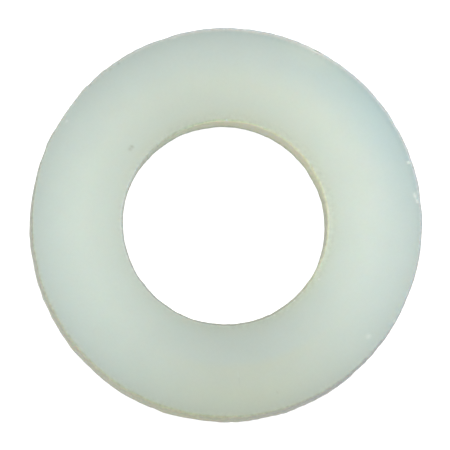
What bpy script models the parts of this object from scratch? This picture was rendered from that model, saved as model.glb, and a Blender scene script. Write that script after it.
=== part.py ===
"""Flat plain washer for an M10 bolt, moulded in one piece from natural nylon.

The washer lies flat on Z = 0 with its bore along +Z. Its section is a rectangle with four small
round corners, spun about the bore axis. The one place where it isn't round is the trimmed gate,
a narrow flat on the rim where the moulding was cut from its runner.

Units are metres.
"""

import math

import bmesh
import bpy
from mathutils import Vector

OUTER_DIAMETER = 0.0200
BORE_DIAMETER = 0.0104
THICKNESS = 0.0020
CORNER_RADIUS = 0.00015

GATE_ANGLE = math.radians(63.0)
GATE_WIDTH = 0.0013

SEGMENTS = 144
CORNER_STEPS = 3
SMOOTH_UP_TO = math.radians(40.0)

NYLON_COLOUR = (0.61, 0.70, 0.62, 1.0)
NYLON_ROUGHNESS = 0.45


def clear_scene():
    """Remove everything from the scene, such as the startup cube."""
    for obj in list(bpy.data.objects):
        bpy.data.objects.remove(obj)


def natural_nylon():
    """Milky, slightly green nylon with no pigment."""
    material = bpy.data.materials.new("natural_nylon")
    material.use_nodes = True
    shader = material.node_tree.nodes["Principled BSDF"]
    shader.inputs["Base Color"].default_value = NYLON_COLOUR
    shader.inputs["Roughness"].default_value = NYLON_ROUGHNESS
    shader.inputs["Metallic"].default_value = 0.0
    material.diffuse_color = NYLON_COLOUR
    return material


def round_corner(across, up, start):
    """A quarter circle about (across, up) in the XZ plane, turning clockwise from the angle start."""
    points = []
    for step in range(CORNER_STEPS + 1):
        angle = start - math.pi / 2 * step / CORNER_STEPS
        x = across + CORNER_RADIUS * math.cos(angle)
        z = up + CORNER_RADIUS * math.sin(angle)
        points.append(Vector((x, 0.0, z)))
    return points


def section():
    """The closed section: down the rim, in along the underside, up the bore and out along the top."""
    outer = OUTER_DIAMETER / 2 - CORNER_RADIUS
    inner = BORE_DIAMETER / 2 + CORNER_RADIUS
    top = THICKNESS - CORNER_RADIUS
    bottom = CORNER_RADIUS
    return (
        round_corner(outer, top, math.pi / 2)
        + round_corner(outer, bottom, 0.0)
        + round_corner(inner, bottom, -math.pi / 2)
        + round_corner(inner, top, math.pi)
    )


def spin_section(shape):
    """Draw the section in the XZ plane and spin it once round Z."""
    corners = [shape.verts.new(point) for point in section()]
    sides = [shape.edges.new((corners[i - 1], corners[i])) for i in range(len(corners))]
    bmesh.ops.spin(
        shape,
        geom=corners + sides,
        cent=(0.0, 0.0, 0.0),
        axis=(0.0, 0.0, 1.0),
        angle=2 * math.pi,
        steps=SEGMENTS,
        use_merge=True,
    )
    bmesh.ops.recalc_face_normals(shape, faces=shape.faces)


def trim_gate(shape):
    """Press the rim back onto the plane of the cut that took the gate off."""
    outwards = Vector((math.cos(GATE_ANGLE), math.sin(GATE_ANGLE), 0.0))
    rim = OUTER_DIAMETER / 2
    cut = math.sqrt(rim**2 - (GATE_WIDTH / 2) ** 2)
    for vertex in shape.verts:
        proud = vertex.co.dot(outwards) - cut
        if proud > 0.0:
            vertex.co -= outwards * proud


def build_washer():
    """The whole washer, as one moulded solid."""
    shape = bmesh.new()
    spin_section(shape)
    trim_gate(shape)
    mesh = bpy.data.meshes.new("washer")
    shape.to_mesh(mesh)
    shape.free()

    mesh.materials.append(natural_nylon())
    mesh.shade_smooth()
    mesh.set_sharp_from_angle(angle=SMOOTH_UP_TO)
    washer = bpy.data.objects.new("washer", mesh)
    bpy.context.scene.collection.objects.link(washer)


clear_scene()
build_washer()
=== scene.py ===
"""Looks for the flat washer: a milky, satin moulding of natural nylon on a pale studio floor.

The moulding is one fine mesh, a rounded section turned about the bore axis. It carries the small
things that a real one does: a trimmed and torn gate, scuffs and nicks, a rim and a bore that are
round only to about a tenth of a millimetre, and faces that aren't quite flat. It takes its sizes
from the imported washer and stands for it. Lengths are in metres and angles are anticlockwise from +X.
"""

import math
from collections import namedtuple

import bpy
import numpy as np
from mathutils import Matrix, Vector


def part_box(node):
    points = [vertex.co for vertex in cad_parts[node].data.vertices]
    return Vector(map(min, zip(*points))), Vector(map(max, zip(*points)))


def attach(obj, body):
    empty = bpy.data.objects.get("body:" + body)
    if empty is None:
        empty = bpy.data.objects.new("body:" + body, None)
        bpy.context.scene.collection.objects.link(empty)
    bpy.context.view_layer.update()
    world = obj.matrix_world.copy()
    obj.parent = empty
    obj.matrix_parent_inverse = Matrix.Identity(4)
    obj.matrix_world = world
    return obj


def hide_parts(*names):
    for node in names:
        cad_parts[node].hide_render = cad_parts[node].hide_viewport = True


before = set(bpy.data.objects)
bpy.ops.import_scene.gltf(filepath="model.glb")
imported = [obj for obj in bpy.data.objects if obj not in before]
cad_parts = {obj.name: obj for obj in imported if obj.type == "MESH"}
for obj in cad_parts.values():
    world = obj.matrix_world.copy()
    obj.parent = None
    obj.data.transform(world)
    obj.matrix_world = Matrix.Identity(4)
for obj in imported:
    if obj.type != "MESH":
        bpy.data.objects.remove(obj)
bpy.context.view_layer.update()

MM = 0.001
MICRON = 0.000001

# The washer's sizes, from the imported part.
LOW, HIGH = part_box("washer")
RIM = (HIGH.x - LOW.x) / 2
THICKNESS = HIGH.z - LOW.z
BORE = min(math.hypot(v.co.x, v.co.y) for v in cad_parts["washer"].data.vertices)
CORNER = 0.15 * MM

# The mesh of the moulding. Its points crowd together along the edges, at the marks and at the gate.
SEGMENTS = 800
TOP_STEPS = 48
UNDERSIDE_STEPS = 20
WALL_STEPS = 12
CORNER_STEPS = 6
CROWDED_WITHIN_ON_TOP = 0.15 * MM
CROWDED_WITHIN_BELOW = 0.3 * MM
CROWDED_WITHIN_ROUND = math.radians(3.0)
SKIN = 3 * MICRON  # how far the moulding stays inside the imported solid

# How far the moulding is from a true ring.
OVAL = 0.0465 * MM
OVAL_ALONG = math.radians(66.0)
BORE_SHIFT = 0.09 * MM
BORE_SHIFT_TOWARDS = math.radians(197.0)
BORE_TIGHT = 0.067 * MM
BORE_OVAL = 0.012 * MM
BORE_OVAL_ALONG = math.radians(53.0)

# Waves in the faces, and in the edges and walls: how large they are, how deep by the bore and by the
# rim, and the seed of their pattern.
Waves = namedtuple("Waves", "size by_bore by_rim seed")
FACE_WAVES = Waves(3.0 * MM, 6 * MICRON, 6 * MICRON, 1)
EDGE_WAVES = (
    Waves(0.9 * MM, 15 * MICRON, 30 * MICRON, 11),
    Waves(0.3 * MM, 14 * MICRON, 20 * MICRON, 12),
    Waves(0.13 * MM, 9 * MICRON, 12 * MICRON, 13),
)

# The gate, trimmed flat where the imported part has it, and the nylon that the trimming tore there.
GATE_ANGLE = math.radians(63.0)
GATE_WIDTH = 1.3 * MM
TEAR_SIZE = 0.16 * MM
TEAR_SQUEEZE = 0.35  # of heights in the tear's pattern, which draws it out from face to face
TEAR_DEPTH = 14 * MICRON
TEAR_SHADE = 0.35
TEAR_SEED = 4

# The marks' ragged outlines, and how far a mark on a face reaches down a wall.
RAGGED_SIZE = 0.12 * MM
RAGGEDNESS = 0.4
RAGGED_SEED = 3
MARK_REACH_DOWN = 0.12 * MM

# The sizes of the patterns in the nylon, and the depth of its grain.
CLOUDS_SIZE = 1.5 * MM
CHAFING_SIZE = 0.2 * MM
CHAFING_SQUEEZE = 0.4  # of heights in its pattern, which draws it out from face to face
SPECKLE_SIZE = 0.15 * MM
GRAIN_SIZE = 0.06 * MM
GRAIN_DEPTH = 1.5 * MICRON
LIGHT_TRAVELS = 0.35 * MM  # how far light travels inside the nylon

# The camera, nearly overhead and a long way off for the washer's size.
CAMERA_DISTANCE = 340 * MM
CAMERA_TILT = math.radians(9.2)
CAMERA_TOWARDS = math.radians(247.5)
FRAME_WIDTH = 22.75 * MM
FRAME_OFFSET = (-0.038 * MM, -0.016 * MM)
SENSOR = 36.0

# The studio: large soft lights on both sides, a pale sky and a floor just under the washer.
SOFTBOX_SIZE = 30 * MM
SOFTBOX_ACROSS = 26 * MM
SOFTBOX_BEHIND = 18 * MM
SOFTBOX_HEIGHT = 58 * MM
LEFT_WATTS = 0.0092
RIGHT_WATTS = 0.0097
SKY_STRENGTH = 0.465
FLOOR_HALF = 3.0
FLOOR_GAP = 0.02 * MM
FLOOR_GLOW = 0.80  # what the camera sees of the floor beyond the light that it reflects

# Small marks on the top face and its edges: where, how long round the ring and how wide across it,
# how many degrees they slant, how deep, and how pale (above 0) or dark (below 0) they are.
Mark = namedtuple("Mark", "degrees radius length width slant depth shade")
MARKS = (
    # a streak of three, a nick and a pit on the rim's right side
    Mark(6.7, 9.77 * MM, 0.19 * MM, 0.12 * MM, 0, 9 * MICRON, 0.8),
    Mark(7.7, 9.72 * MM, 0.26 * MM, 0.09 * MM, 8, 5 * MICRON, 0.5),
    Mark(8.8, 9.69 * MM, 0.30 * MM, 0.14 * MM, 4, 8 * MICRON, 0.7),
    Mark(17.0, 9.95 * MM, 0.09 * MM, 0.09 * MM, 0, 10 * MICRON, -1.0),
    Mark(18.7, 9.77 * MM, 0.15 * MM, 0.15 * MM, 0, 12 * MICRON, 0.7),
    Mark(19.8, 9.89 * MM, 0.18 * MM, 0.05 * MM, -20, 6 * MICRON, 0.4),
    # chafing of the rim's edge
    Mark(30.1, 9.91 * MM, 0.16 * MM, 0.11 * MM, 0, 14 * MICRON, 0.5),
    Mark(36.8, 9.93 * MM, 0.30 * MM, 0.14 * MM, 0, 18 * MICRON, -0.15),
    Mark(74.5, 9.93 * MM, 0.50 * MM, 0.12 * MM, 0, 10 * MICRON, 0.3),
    # a dent at the top of the rim, whose paleness is a painted highlight on its lip
    Mark(83.5, 9.98 * MM, 1.10 * MM, 0.22 * MM, 0, 36 * MICRON, 0.35),
    Mark(105.8, 9.80 * MM, 0.20 * MM, 0.09 * MM, 0, 6 * MICRON, 0.3),
    Mark(124.3, 9.80 * MM, 0.16 * MM, 0.10 * MM, 0, 8 * MICRON, -0.3),
    Mark(127.5, 9.82 * MM, 0.22 * MM, 0.11 * MM, 0, 8 * MICRON, -0.25),
    Mark(135.0, 9.85 * MM, 0.18 * MM, 0.10 * MM, 0, 8 * MICRON, -0.4),
    Mark(146.5, 9.93 * MM, 0.40 * MM, 0.12 * MM, 0, 10 * MICRON, 0.3),
    # the gate's torn lip: its pale ends, a dark streak, a pale one, two dots inside them and a nick
    Mark(58.6, 9.90 * MM, 0.20 * MM, 0.13 * MM, -10, 14 * MICRON, 0.4),
    Mark(65.8, 9.90 * MM, 0.75 * MM, 0.15 * MM, 0, 12 * MICRON, 0.35),
    Mark(62.3, 9.93 * MM, 0.44 * MM, 0.09 * MM, 0, 12 * MICRON, -1.1),
    Mark(62.5, 9.835 * MM, 0.50 * MM, 0.06 * MM, 2, 5 * MICRON, 0.5),
    Mark(62.0, 9.77 * MM, 0.08 * MM, 0.07 * MM, 0, 5 * MICRON, -0.4),
    Mark(63.1, 9.71 * MM, 0.11 * MM, 0.06 * MM, 0, 4 * MICRON, 0.35),
    Mark(68.5, 9.92 * MM, 0.12 * MM, 0.09 * MM, 0, 10 * MICRON, -0.45),
    # specks along the bore
    Mark(89.3, 5.27 * MM, 0.10 * MM, 0.09 * MM, 0, 8 * MICRON, 0.8),
    Mark(184.0, 5.31 * MM, 0.16 * MM, 0.12 * MM, 0, 15 * MICRON, 0.6),
    Mark(293.9, 5.39 * MM, 0.10 * MM, 0.07 * MM, 0, 4 * MICRON, 0.25),
    Mark(297.7, 5.40 * MM, 0.12 * MM, 0.08 * MM, 0, 5 * MICRON, 0.3),
    Mark(304.8, 5.50 * MM, 0.10 * MM, 0.08 * MM, 0, 5 * MICRON, 0.5),
    Mark(311.4, 5.35 * MM, 0.09 * MM, 0.07 * MM, 0, 5 * MICRON, 0.5),
    Mark(317.9, 5.33 * MM, 0.07 * MM, 0.12 * MM, 0, 6 * MICRON, 0.4),
    Mark(328.8, 5.60 * MM, 0.10 * MM, 0.09 * MM, 0, 5 * MICRON, 0.7),
    Mark(329.8, 5.47 * MM, 0.10 * MM, 0.07 * MM, 0, 4 * MICRON, 0.35),
    Mark(333.5, 5.31 * MM, 0.10 * MM, 0.16 * MM, 0, 6 * MICRON, 0.35),
    # scratches and specks on the face
    Mark(141.8, 6.17 * MM, 0.34 * MM, 0.14 * MM, 10, 6 * MICRON, -0.55),
    Mark(148.1, 9.64 * MM, 0.18 * MM, 0.14 * MM, 0, 7 * MICRON, 0.4),
    Mark(274.4, 7.78 * MM, 0.07 * MM, 0.26 * MM, 0, 3 * MICRON, 0.18),
    Mark(274.6, 8.08 * MM, 0.07 * MM, 0.24 * MM, 0, 2 * MICRON, -0.12),
    Mark(286.5, 9.05 * MM, 0.10 * MM, 0.10 * MM, 0, 5 * MICRON, -0.22),
    Mark(321.0, 9.26 * MM, 0.28 * MM, 0.20 * MM, 0, 8 * MICRON, 0.8),
    Mark(329.3, 9.88 * MM, 0.14 * MM, 0.12 * MM, 0, 12 * MICRON, 0.5),
)


# Section and mesh of the moulding


def crowded(start, end, steps, places, reach, pull=4.0, samples_per_step=40):
    """Steps from start to end, without its end, closer together near the given places."""
    fine = np.linspace(start, end, samples_per_step * steps + 1)
    crowding = np.ones_like(fine)
    for place in places:
        crowding += pull * np.exp(-(((fine - place) / reach) ** 2))
    passed = np.concatenate([[0.0], np.cumsum((crowding[1:] + crowding[:-1]) / 2)])
    wanted = np.arange(steps) * passed[-1] / steps
    return np.interp(wanted, passed, fine)


def corner(across, up, start):
    """A quarter circle about (across, up), turning clockwise from the angle start, without its end."""
    for step in range(CORNER_STEPS):
        angle = start - math.pi / 2 * step / CORNER_STEPS
        yield across + CORNER * math.cos(angle), up + CORNER * math.sin(angle), angle


def wall(radius, start, end, facing):
    """An upright side from height start to height end, without its end."""
    for step in range(WALL_STEPS):
        yield radius, start + (end - start) * step / WALL_STEPS, facing


def section():
    """Points (radius, height, facing angle) round the section, clockwise from the rim's top corner."""
    outer = RIM - SKIN - CORNER
    inner = BORE + SKIN + CORNER
    top = THICKNESS - SKIN - CORNER
    bottom = SKIN + CORNER
    up, out, down, back = math.pi / 2, 0.0, -math.pi / 2, math.pi
    edges = [inner, outer]
    busy = edges + [mark.radius for mark in MARKS]
    top_radii = crowded(inner, outer, TOP_STEPS, busy, CROWDED_WITHIN_ON_TOP)
    underside_radii = crowded(outer, inner, UNDERSIDE_STEPS, edges, CROWDED_WITHIN_BELOW)
    points = [
        *corner(outer, top, up),
        *wall(outer + CORNER, top, bottom, out),
        *corner(outer, bottom, out),
        *((radius, bottom - CORNER, down) for radius in underside_radii),
        *corner(inner, bottom, down),
        *wall(inner - CORNER, bottom, top, back),
        *corner(inner, top, back),
        *((radius, top + CORNER, up) for radius in top_radii),
    ]
    return np.array(points)


def ripple(places, size, seed, count=20):
    """Smooth unevenness, mostly between -1 and 1, with bumps about as large as size."""
    random = np.random.default_rng(seed)
    waves = random.normal(size=(count, 3)) * 2 / size
    phases = random.uniform(0.0, 2 * math.pi, count)
    return np.sin(places @ waves.T + phases).sum(axis=-1) / math.sqrt(count)


def wave_depth(places, radius, waves):
    """How deep waves are at some places, mostly between 0 and the depth that they have there."""
    deepest = np.interp(radius, (BORE, RIM), (waves.by_bore, waves.by_rim))
    return deepest * (1 + ripple(places, waves.size, waves.seed)) / 2


def mark_weight(places, mark):
    """1 at the middle of a mark, fading to 0 round it."""
    angle = math.radians(mark.degrees)
    centre = np.array([mark.radius * math.cos(angle), mark.radius * math.sin(angle), THICKNESS])
    along = angle + math.pi / 2 + math.radians(mark.slant)
    offset = places - centre
    length = offset @ np.array([math.cos(along), math.sin(along), 0.0]) / (mark.length / 2)
    width = offset @ np.array([math.sin(along), -math.cos(along), 0.0]) / (mark.width / 2)
    height = offset[..., 2] / MARK_REACH_DOWN
    return np.exp(-(length**4) - width**2 - height**2)


def marked(places):
    """How deep the marks are at some places, and how pale or dark they are there."""
    depth = np.zeros(places.shape[:-1])
    shade = np.zeros(places.shape[:-1])
    ragged = 1 + RAGGEDNESS * ripple(places, RAGGED_SIZE, RAGGED_SEED)
    for mark in MARKS:
        weight = mark_weight(places, mark) * ragged
        depth += mark.depth * weight
        shade += mark.shade * weight
    return depth, shade


def torn(places, angle, facing):
    """How torn the rim is: mostly between 0 and 1 within the gate's width, and 0 elsewhere."""
    off = (angle - GATE_ANGLE) * RIM / (GATE_WIDTH / 2)
    in_gate = np.exp(-(off**6)) * np.clip(np.cos(facing), 0.0, 1.0)
    drawn_out = places * np.array([1.0, 1.0, TEAR_SQUEEZE])
    return in_gate * (1 + ripple(drawn_out, TEAR_SIZE, TEAR_SEED)) / 2


def out_of_true(places, angle, radius):
    """Squeeze the rim a little oval, and shift the bore a little off centre and tighten it."""
    share = (radius - BORE) / (RIM - BORE)
    rim_squeeze = OVAL * (1 - np.cos(2 * (angle - OVAL_ALONG)))
    bore_squeeze = BORE_TIGHT - BORE_OVAL * np.cos(2 * (angle - BORE_OVAL_ALONG))
    squeeze = rim_squeeze * share + bore_squeeze * (1 - share)
    places[..., 0] += BORE_SHIFT * math.cos(BORE_SHIFT_TOWARDS) * (1 - share) - squeeze * np.cos(angle)
    places[..., 1] += BORE_SHIFT * math.sin(BORE_SHIFT_TOWARDS) * (1 - share) - squeeze * np.sin(angle)


def trim_gate(places):
    """Press the rim back onto the plane of the cut that took the gate off."""
    outwards = np.array([math.cos(GATE_ANGLE), math.sin(GATE_ANGLE), 0.0])
    cut = math.sqrt(RIM**2 - (GATE_WIDTH / 2) ** 2) - SKIN
    proud = np.clip(places @ outwards - cut, 0.0, None)
    places -= proud[..., None] * outwards


def worn_places(angle, radius, height, facing):
    """Places of the mesh's points with all the small faults, and how pale or dark each point is."""
    turned = np.stack([radius * np.cos(angle), radius * np.sin(angle), height], axis=-1)
    normal = np.stack(
        [np.cos(facing) * np.cos(angle), np.cos(facing) * np.sin(angle), np.sin(facing)], axis=-1
    )
    depth, shade = marked(turned)
    tear = torn(turned, angle, facing)
    depth += TEAR_DEPTH * tear
    shade += TEAR_SHADE * tear
    depth += wave_depth(turned, radius, FACE_WAVES) * np.abs(np.sin(facing))
    for waves in EDGE_WAVES:
        depth += wave_depth(turned, radius, waves) * np.abs(np.cos(facing))

    places = turned - normal * np.clip(depth, 0.0, None)[..., None]
    out_of_true(places, angle, radius)
    trim_gate(places)
    return places, shade


def turned_mesh(name):
    """Turn the section about Z into a closed mesh, and keep each point's shade in an attribute."""
    points = section()
    count = len(points)
    busy = [math.radians(mark.degrees) for mark in MARKS] + [GATE_ANGLE]
    angles = crowded(0.0, 2 * math.pi, SEGMENTS, busy, CROWDED_WITHIN_ROUND)
    angle, radius = np.meshgrid(angles, points[:, 0], indexing="ij")
    height = np.broadcast_to(points[:, 1], angle.shape)
    facing = np.broadcast_to(points[:, 2], angle.shape)
    places, shade = worn_places(angle, radius, height, facing)

    here = np.arange(SEGMENTS)[:, None] * count
    beside = (here + count) % (SEGMENTS * count)
    point = np.arange(count)[None, :]
    after = (point + 1) % count
    faces = np.stack([here + point, here + after, beside + after, beside + point], axis=-1)

    mesh = bpy.data.meshes.new(name)
    mesh.from_pydata(places.reshape(-1, 3).tolist(), [], faces.reshape(-1, 4).tolist())
    mesh.shade_smooth()
    attribute = mesh.attributes.new("shade", "FLOAT", "POINT")
    attribute.data.foreach_set("value", shade.ravel())
    return mesh


def build_moulding():
    """The visible washer."""
    mesh = turned_mesh("moulding")
    moulding = bpy.data.objects.new("moulding", mesh)
    bpy.context.scene.collection.objects.link(moulding)
    mesh.materials.append(nylon_material())
    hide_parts("washer")
    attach(moulding, "root")


# Shader nodes


def new_tree(name):
    """A node material with no nodes yet. Return the material and its tree."""
    material = bpy.data.materials.new(name)
    material.use_nodes = True
    material.node_tree.nodes.clear()
    return material, material.node_tree


def add_node(tree, kind, inputs=None, **settings):
    """Add a node with its settings, and link or set its inputs."""
    node = tree.nodes.new(kind)
    for name, value in settings.items():
        setattr(node, name, value)
    for name, value in (inputs or {}).items():
        if isinstance(value, bpy.types.NodeSocket):
            tree.links.new(value, node.inputs[name])
        else:
            node.inputs[name].default_value = value
    return node


def maths(tree, operation, *values, clamp=False):
    """One Math node's result."""
    inputs = dict(enumerate(values))
    return add_node(tree, "ShaderNodeMath", inputs, operation=operation, use_clamp=clamp).outputs[0]


def between(tree, share, low, high):
    """From low, where share is 0, to high, where it is 1."""
    return maths(tree, "MULTIPLY_ADD", share, high - low, low)


def vector_maths(tree, operation, *values):
    """One Vector Math node, whose outputs are Vector and Value."""
    return add_node(tree, "ShaderNodeVectorMath", dict(enumerate(values)), operation=operation).outputs


def z_of(tree, vector):
    """A vector's Z."""
    return add_node(tree, "ShaderNodeSeparateXYZ", {0: vector}).outputs["Z"]


def smooth_rise(tree, value, start, end):
    """0 up to start and 1 past end, with a smooth rise between. Start may be the larger one."""
    inputs = {"Value": value, "From Min": start, "From Max": end}
    node = add_node(tree, "ShaderNodeMapRange", inputs, interpolation_type="SMOOTHSTEP")
    return node.outputs["Result"]


def noise(tree, place, size, detail=2.0, roughness=0.5):
    """Noise between 0 and 1 with patches about as large as size."""
    inputs = {"Vector": place, "Scale": 1 / size, "Detail": detail, "Roughness": roughness}
    return add_node(tree, "ShaderNodeTexNoise", inputs).outputs["Fac"]


def mixed(tree, share, first, second, blend_type="MIX"):
    """Mix two colours, as far as share says."""
    inputs = {0: share, 6: first, 7: second}
    node = add_node(tree, "ShaderNodeMix", inputs, data_type="RGBA", blend_type=blend_type)
    return node.outputs[2]


def opaque(red, green, blue):
    """A colour as a shader input takes it."""
    return red, green, blue, 1.0


def level_curve(tree, value, stops):
    """A smooth curve near the (position, level) stops, as grey."""
    node = add_node(tree, "ShaderNodeValToRGB", {"Fac": value})
    ramp = node.color_ramp
    ramp.interpolation = "B_SPLINE"
    while len(ramp.elements) < len(stops):
        ramp.elements.new(0.5)
    for element, (position, level) in zip(ramp.elements, stops):
        element.position = position
        element.color = opaque(level, level, level)
    return node.outputs["Color"]


# Materials

MILKY = (0.805, 0.909, 0.819)
# The walls' colours hold painted light: the rim wall's is painted brighter than the face for the light
# that an upright wall misses, and the bore wall's is its painted shade, which its tints lighten.
RIM_WALL = (0.93, 0.97, 0.86)
BORE_WALL = (0.685, 0.73, 0.65)
PALE_SCUFF_AND_HIGHLIGHT = (0.87, 0.94, 0.89)
SOILED = (0.42, 0.46, 0.36)

# The least and the most of each thing that a pattern in the nylon changes.
CHAFED_BRIGHTNESS = (0.725, 1.275)
CLOUDED_BRIGHTNESS = (0.98, 1.02)
SPECKLED_BRIGHTNESS = (0.98, 1.02)
GRAINED_ROUGHNESS = (0.36, 0.52)

# How far round an edge, from 0 on the face to 1 on the wall, the chafing is full. And the part of
# the face beside it that is chafed too, by distance from the middle (0) to the edge (0.5).
CHAFED_FROM = 0.2
CHAFED_BESIDE = (0.38, 0.5)
CHAFED_BESIDE_SHARE = 0.5

# The wall's own colour is full where an edge has turned so far that its flatness, which is 1 on the
# face and 0 on the wall, is this.
WALL_FLATNESS = 0.3

# How bright the face is painted at places from the bore (0) to the rim (1): painted light, brightest
# half way across and darker at the edges.
GLOW = (
    (0.0, 0.85),
    (0.1, 0.92),
    (0.28, 0.965),
    (0.45, 0.99),
    (0.6, 0.965),
    (0.75, 0.93),
    (0.88, 0.88),
    (1.0, 0.80),
)

# Tints, many of them painted light and shade: the tint, where it begins and where it is full, and the
# way that it lies and how narrow it is there. Narrowness 0 is all round.
EVERYWHERE = (-1.0, 0.0)

# Across the face, from the bore (0) to the rim (1).
FACE_TINTS_AND_PAINTED_LIGHT = (
    # painted light and shade: duller towards +Y and -Y than along X
    ((0.86, 0.86, 0.86), EVERYWHERE, 105, 3.5),
    ((0.87, 0.87, 0.87), EVERYWHERE, 274, 6),
    ((0.945, 0.945, 0.945), (0.85, 0.3), 275, 4),
    ((0.985, 0.985, 0.985), EVERYWHERE, 215, 12),
    ((0.98, 0.98, 0.98), (0.2, 0.05), 222, 8),
    ((0.95, 0.95, 0.95), (0.3, 1.0), 35, 3),
    ((0.97, 0.97, 0.97), (0.4, 1.0), 155, 8),
    ((1.02, 1.02, 1.02), EVERYWHERE, 338, 12),
    # cooler along the rim
    ((0.985, 1.0, 1.02), (0.35, 0.95), 0, 0),
    ((1.0, 1.0, 1.02), (0.35, 0.6), 0, 2),
    ((0.925, 1.0, 1.04), (0.45, 0.95), 35, 16),
    # warmer along the bore
    ((1.01, 1.0, 0.95), (0.2, 0.0), 0, 0),
    ((1.0, 1.0, 1.035), (0.2, 0.0), 195, 5),
    ((1.02, 1.0, 0.96), (0.75, 0.35), 85, 3),
    # warm and pale by the gate, and a warm cloud across from it
    ((1.09, 1.075, 1.03), (0.70, 0.92), 62.5, 90),
    ((1.065, 1.035, 1.03), (0.85, 0.95), 62.5, 300),
    ((1.035, 1.0, 0.93), (0.38, 0.50), 279, 12),
    ((1.0, 1.0, 0.965), (0.60, 0.75), 268, 14),
    # by the edges: painted highlights along the rim's far side and beside the bore, painted shade
    # beside the rim, and warm and khaki tints
    ((0.97, 0.98, 0.98), (0.70, 1.0), 95, 2),
    ((0.92, 0.945, 0.96), (0.89, 0.955), 45, 3),
    ((1.10, 1.04, 1.04), (0.935, 0.96), 78, 3),
    ((1.06, 1.025, 1.02), (0.935, 0.955), 85, 12),
    ((1.0, 1.0, 0.94), (0.92, 1.0), 240, 2),
    ((1.0, 1.0, 0.94), (0.93, 0.97), 180, 50),
    ((0.975, 0.94, 0.92), (0.93, 0.99), 200, 20),
    ((1.02, 1.02, 1.07), (0.08, 0.0), 160, 14),
    ((1.0, 1.0, 0.955), (0.07, 0.03), 322, 20),
    ((1.04, 1.04, 1.045), (0.045, 0.02), 350, 30),
    ((1.045, 1.035, 1.04), (0.05, 0.02), 190, 12),
)

# Round the rim's edge and the bore's, from the face (0) to the wall (1).
# Mostly painted light: painted highlights on the rim's lip, most on its far side, and painted shade
# round its turn, deepest towards 180°. The one towards 245° is a khaki tint.
RIM_EDGE_TINTS_AND_PAINTED_LIGHT = (
    ((1.03, 1.01, 1.05), (0.05, 0.3), 75, 2),
    ((1.05, 1.03, 1.06), (0.0, 0.15), 85, 5),
    ((1.13, 1.055, 1.045), (0.0, 0.15), 28, 14),
    ((1.06, 1.03, 1.03), (0.0, 0.15), 32, 40),
    ((0.89, 0.95, 0.97), (0.25, 0.55), 75, 3),
    ((0.95, 0.945, 0.93), (0.0, 0.15), 140, 16),
    ((1.05, 1.05, 0.91), (0.0, 0.5), 245, 4),
    ((0.80, 0.77, 0.73), (0.15, 0.45), 179, 40),
    ((0.94, 0.93, 0.94), (0.1, 0.4), 312, 30),
    ((1.06, 1.06, 1.06), (0.1, 0.5), 332, 60),
    ((1.04, 1.05, 1.13), (0.05, 0.4), 342, 7),
)
# Mostly painted light: painted shade on the bore's lip where its wall is hidden, darkest towards 250°,
# and painted highlights on it towards 45°, 160°, 196° and 355°.
BORE_EDGE_TINTS_AND_PAINTED_LIGHT = (
    ((0.74, 0.72, 0.75), (0.10, 0.36), 250, 1.2),
    ((0.80, 0.78, 0.79), (0.05, 0.28), 310, 9),
    ((0.86, 0.85, 0.90), (0.15, 0.38), 220, 12),
    ((0.78, 0.80, 0.74), (0.25, 0.5), 269, 50),
    ((1.10, 1.09, 1.09), (0.0, 0.2), 196, 100),
    ((0.84, 0.87, 0.87), (0.15, 0.4), 181, 80),
    ((0.89, 0.88, 0.91), (0.35, 0.65), 130, 40),
    ((0.86, 0.87, 0.94), (0.28, 0.6), 151, 60),
    ((1.11, 1.12, 1.05), (0.0, 0.4), 45, 3),
    ((1.14, 1.09, 0.98), (0.0, 0.3), 355, 6),
    ((1.08, 1.08, 1.07), (0.0, 0.4), 352, 20),
    ((1.12, 1.14, 1.17), (0.0, 0.3), 160, 40),
    ((0.92, 1.0, 0.94), (0.1, 0.35), 97, 14),
)

# Up the walls, from the underside (0) to the top face (1).
# Mostly painted light: painted shade high on the wall and on its sides towards 177° and 306°, and
# painted light low on the wall, most on its near side. The ones towards 67°, 245° and 261° are tints.
RIM_WALL_TINTS_AND_PAINTED_LIGHT = (
    ((0.83, 0.83, 0.85), (0.3, 0.8), 0, 0),
    ((1.20, 1.20, 1.13), (0.35, 0.05), 0, 0),
    ((1.11, 1.105, 1.05), (0.4, 0.15), 255, 4),
    ((1.07, 1.07, 1.02), (0.6, 0.3), 208, 20),
    ((1.0, 1.0, 0.93), EVERYWHERE, 261, 60),
    ((0.91, 0.99, 1.06), EVERYWHERE, 67, 3),
    ((0.94, 0.92, 0.93), (0.3, 0.7), 308, 20),
    ((1.03, 1.03, 0.87), EVERYWHERE, 245, 3),
    ((1.03, 1.035, 1.04), EVERYWHERE, 240, 60),
    ((0.85, 0.85, 0.88), EVERYWHERE, 177, 14),
    ((0.88, 0.90, 1.02), EVERYWHERE, 306, 14),
)
# Mostly painted light: the side of the bore's wall that faces the camera, round 75°, painted much
# brighter low down, and painted shade and light round the rest. The one towards 5° is a warm tint.
BORE_WALL_TINTS_AND_PAINTED_LIGHT = (
    ((1.67, 1.61, 1.22), (0.0, 0.55), 75, 5),
    ((0.95, 0.92, 0.91), EVERYWHERE, 0, 30),
    ((0.95, 1.0, 1.0), EVERYWHERE, 122, 16),
    ((0.93, 1.0, 0.93), (0.4, 0.8), 90, 30),
    ((0.92, 0.92, 0.94), (0.4, 0.8), 127, 25),
    ((1.06, 1.07, 1.02), (0.3, 0.6), 42, 14),
    ((1.0, 1.0, 0.92), EVERYWHERE, 5, 4),
)

Edge = namedtuple("Edge", "face_tints wall wall_tints")
RIM_EDGE = Edge(RIM_EDGE_TINTS_AND_PAINTED_LIGHT, RIM_WALL, RIM_WALL_TINTS_AND_PAINTED_LIGHT)
BORE_EDGE = Edge(BORE_EDGE_TINTS_AND_PAINTED_LIGHT, BORE_WALL, BORE_WALL_TINTS_AND_PAINTED_LIGHT)


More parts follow.
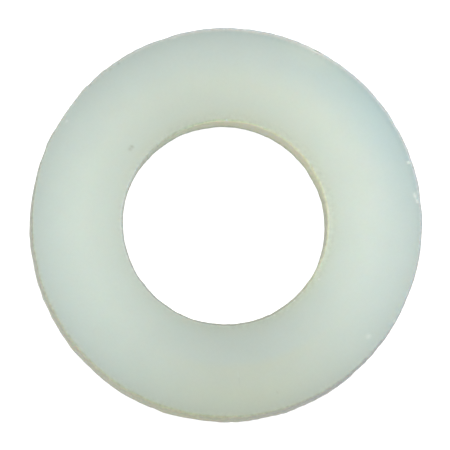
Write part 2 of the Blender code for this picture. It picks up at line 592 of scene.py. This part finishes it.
def lobe(tree, outwards, degrees, narrowness):
    """1 on the side of the washer that lies towards an angle, and falling away from it."""
    angle = math.radians(degrees)
    towards = (math.cos(angle), math.sin(angle), 0.0)
    along = vector_maths(tree, "DOT_PRODUCT", outwards, towards)["Value"]
    return maths(tree, "POWER", maths(tree, "MULTIPLY_ADD", along, 0.5, 0.5), narrowness)


def tinted(tree, colour, place, outwards, tints):
    """A colour with the tints and painted light laid over it, for a place between 0 and 1."""
    for tint, (begins, full), degrees, narrowness in tints:
        share = smooth_rise(tree, place, begins, full)
        if narrowness:
            share = maths(tree, "MULTIPLY", share, lobe(tree, outwards, degrees, narrowness))
        colour = mixed(tree, share, colour, opaque(*tint), "MULTIPLY")
    return colour


def edge_colour(tree, face, turn, height, outwards, edge):
    """The colour from the face, round one of its edges and down the wall, with its painted light and
    shade.
    """
    lip = tinted(tree, face, turn, outwards, edge.face_tints)
    wall = tinted(tree, opaque(*edge.wall), height, outwards, edge.wall_tints)
    flatness = maths(tree, "COSINE", maths(tree, "MULTIPLY", turn, math.pi / 2))
    return mixed(tree, smooth_rise(tree, flatness, 1.0, WALL_FLATNESS), lip, wall)


def chafed(tree, colour, place, across, turn):
    """Mottle the walls and edges, and a little of the face beside them, where the washer has rubbed."""
    drawn_out = vector_maths(tree, "MULTIPLY", place, (1.0, 1.0, CHAFING_SQUEEZE))["Vector"]
    chafing = between(tree, noise(tree, drawn_out, CHAFING_SIZE, 3.0), *CHAFED_BRIGHTNESS)
    off_middle = maths(tree, "ABSOLUTE", maths(tree, "SUBTRACT", across, 0.5))
    beside = maths(tree, "MULTIPLY", smooth_rise(tree, off_middle, *CHAFED_BESIDE), CHAFED_BESIDE_SHARE)
    share = maths(tree, "MAXIMUM", beside, smooth_rise(tree, turn, 0.0, CHAFED_FROM))
    return mixed(tree, share, colour, chafing, "MULTIPLY")


def worn(tree, colour):
    """The colour where the mesh is marked: scuffed where it is pale, soiled where it is dark. At the
    dent at 83.5° on the rim the pale is a painted highlight.
    """
    shade = add_node(tree, "ShaderNodeAttribute", attribute_name="shade").outputs["Fac"]
    colour = mixed(tree, maths(tree, "MULTIPLY", shade, 1.0, clamp=True), colour, opaque(*PALE_SCUFF_AND_HIGHLIGHT))
    return mixed(tree, maths(tree, "MULTIPLY", shade, -1.0, clamp=True), colour, opaque(*SOILED))


def uneven(tree, colour, place):
    """The colour with faint clouds and a faint speckle."""
    clouds = between(tree, noise(tree, place, CLOUDS_SIZE), *CLOUDED_BRIGHTNESS)
    speckle = between(tree, noise(tree, place, SPECKLE_SIZE), *SPECKLED_BRIGHTNESS)
    return mixed(tree, 1.0, colour, maths(tree, "MULTIPLY", clouds, speckle), "MULTIPLY")


def nylon_colour_and_painted_light(tree, place, normal):
    """Milky nylon's colour, as the light that travels through it makes it.

    Light that enters near an edge leaks out of the wall, so the faces are brightest half way across
    and cooler and darker at the rim. The walls show the light that has come through: it is warm.
    This light is painted into the colour, and so are the lamps' light and shade over it: duller
    faces towards +Y and -Y, painted highlights on the rim's far lip, painted shade on the bore's
    lip where its wall is hidden, and walls painted lit on some sides and shaded on others.
    """
    flat = vector_maths(tree, "MULTIPLY", place, (1.0, 1.0, 0.0))["Vector"]
    outwards = vector_maths(tree, "NORMALIZE", flat)["Vector"]
    radius = vector_maths(tree, "LENGTH", flat)["Value"]
    across = maths(tree, "DIVIDE", maths(tree, "SUBTRACT", radius, BORE), RIM - BORE, clamp=True)
    height = maths(tree, "DIVIDE", z_of(tree, place), THICKNESS)
    flatness = maths(tree, "ABSOLUTE", z_of(tree, normal))
    turn = maths(tree, "DIVIDE", maths(tree, "ARCCOSINE", flatness), math.pi / 2)

    face = mixed(tree, 1.0, opaque(*MILKY), level_curve(tree, across, GLOW), "MULTIPLY")
    face = tinted(tree, face, across, outwards, FACE_TINTS_AND_PAINTED_LIGHT)
    bore_side = edge_colour(tree, face, turn, height, outwards, BORE_EDGE)
    rim_side = edge_colour(tree, face, turn, height, outwards, RIM_EDGE)
    colour = mixed(tree, maths(tree, "GREATER_THAN", across, 0.5), bore_side, rim_side)
    return chafed(tree, colour, place, across, turn)


def nylon_material():
    """Natural nylon: milky all through, satin on its skin, scuffed and soiled where it is marked, with
    painted light and shade in its colour.
    """
    material, tree = new_tree("natural_nylon")
    coordinates = add_node(tree, "ShaderNodeTexCoord").outputs
    place = coordinates["Object"]
    colour = nylon_colour_and_painted_light(tree, place, coordinates["Normal"])
    colour = uneven(tree, worn(tree, colour), place)
    grain = noise(tree, place, GRAIN_SIZE, 3.0)
    bump = add_node(tree, "ShaderNodeBump", {"Height": grain, "Distance": GRAIN_DEPTH, "Strength": 1.0})

    shader = add_node(
        tree,
        "ShaderNodeBsdfPrincipled",
        {
            "Base Color": colour,
            "Roughness": between(tree, grain, *GRAINED_ROUGHNESS),
            "Normal": bump.outputs["Normal"],
            "IOR": 1.53,
            "Subsurface Weight": 0.8,
            "Subsurface Radius": (1.0, 0.75, 0.6),
            "Subsurface Scale": LIGHT_TRAVELS,
        },
        subsurface_method="RANDOM_WALK",
    )
    add_node(tree, "ShaderNodeOutputMaterial", {"Surface": shader.outputs["BSDF"]})
    return material


def camera_sees(tree, seen, other):
    """One number for what the camera sees and another for the light that reaches the washer."""
    light_path = add_node(tree, "ShaderNodeLightPath")
    mix = add_node(tree, "ShaderNodeMix", {0: light_path.outputs["Is Camera Ray"], 2: other, 3: seen})
    return mix.outputs[0]


def floor_material():
    """Pale matt acrylic, bright enough in the picture to hold hardly any shadow."""
    material, tree = new_tree("pale_floor")
    shader = add_node(
        tree,
        "ShaderNodeBsdfPrincipled",
        {
            "Base Color": (0.8, 0.8, 0.8, 1.0),
            "Roughness": 0.9,
            "Specular IOR Level": 0.0,
            "Emission Color": (1.0, 1.0, 1.0, 1.0),
            "Emission Strength": camera_sees(tree, FLOOR_GLOW, 0.0),
        },
    )
    add_node(tree, "ShaderNodeOutputMaterial", {"Surface": shader.outputs["BSDF"]})
    return material


# Studio


def add_floor():
    """A plain pale floor just under the washer."""
    half = FLOOR_HALF
    corners = [(-half, -half, 0), (half, -half, 0), (half, half, 0), (-half, half, 0)]
    mesh = bpy.data.meshes.new("floor")
    mesh.from_pydata(corners, [], [(0, 1, 2, 3)])
    mesh.materials.append(floor_material())
    floor = bpy.data.objects.new("floor", mesh)
    floor.location.z = LOW.z - FLOOR_GAP
    bpy.context.scene.collection.objects.link(floor)


def add_softbox(name, across, watts):
    """A square area light that faces the washer and that the camera doesn't see."""
    place = (across, SOFTBOX_BEHIND, SOFTBOX_HEIGHT)
    light = bpy.data.lights.new(name, "AREA")
    light.shape = "SQUARE"
    light.size = SOFTBOX_SIZE
    light.energy = watts
    softbox = bpy.data.objects.new(name, light)
    softbox.location = place
    softbox.rotation_euler = Vector(place).to_track_quat("Z", "Y").to_euler()
    softbox.visible_camera = False
    bpy.context.scene.collection.objects.link(softbox)


def add_world():
    """Even pale light from all round."""
    world = bpy.data.worlds.new("studio")
    world.use_nodes = True
    background = world.node_tree.nodes["Background"]
    background.inputs["Color"].default_value = (1.0, 1.0, 1.0, 1.0)
    background.inputs["Strength"].default_value = SKY_STRENGTH
    bpy.context.scene.world = world


def add_camera():
    """A long lens that looks down on the washer, a little from the front and left."""
    back = Vector(
        (
            math.sin(CAMERA_TILT) * math.cos(CAMERA_TOWARDS),
            math.sin(CAMERA_TILT) * math.sin(CAMERA_TOWARDS),
            math.cos(CAMERA_TILT),
        )
    )
    right = Vector((0.0, 1.0, 0.0)).cross(back).normalized()
    up = back.cross(right)
    aim = Vector((0.0, 0.0, THICKNESS / 2)) + right * FRAME_OFFSET[0] + up * FRAME_OFFSET[1]
    data = bpy.data.cameras.new("camera")
    data.sensor_width = SENSOR
    data.lens = SENSOR * CAMERA_DISTANCE / FRAME_WIDTH
    camera = bpy.data.objects.new("camera", data)
    turn = Matrix((right, up, back)).transposed().to_4x4()
    camera.matrix_world = Matrix.Translation(aim + back * CAMERA_DISTANCE) @ turn
    bpy.context.scene.collection.objects.link(camera)
    bpy.context.scene.camera = camera


build_moulding()
add_floor()
add_softbox("left_softbox", -SOFTBOX_ACROSS, LEFT_WATTS)
add_softbox("right_softbox", SOFTBOX_ACROSS, RIGHT_WATTS)
add_world()
add_camera()
bpy.context.scene.view_settings.view_transform = "Standard"
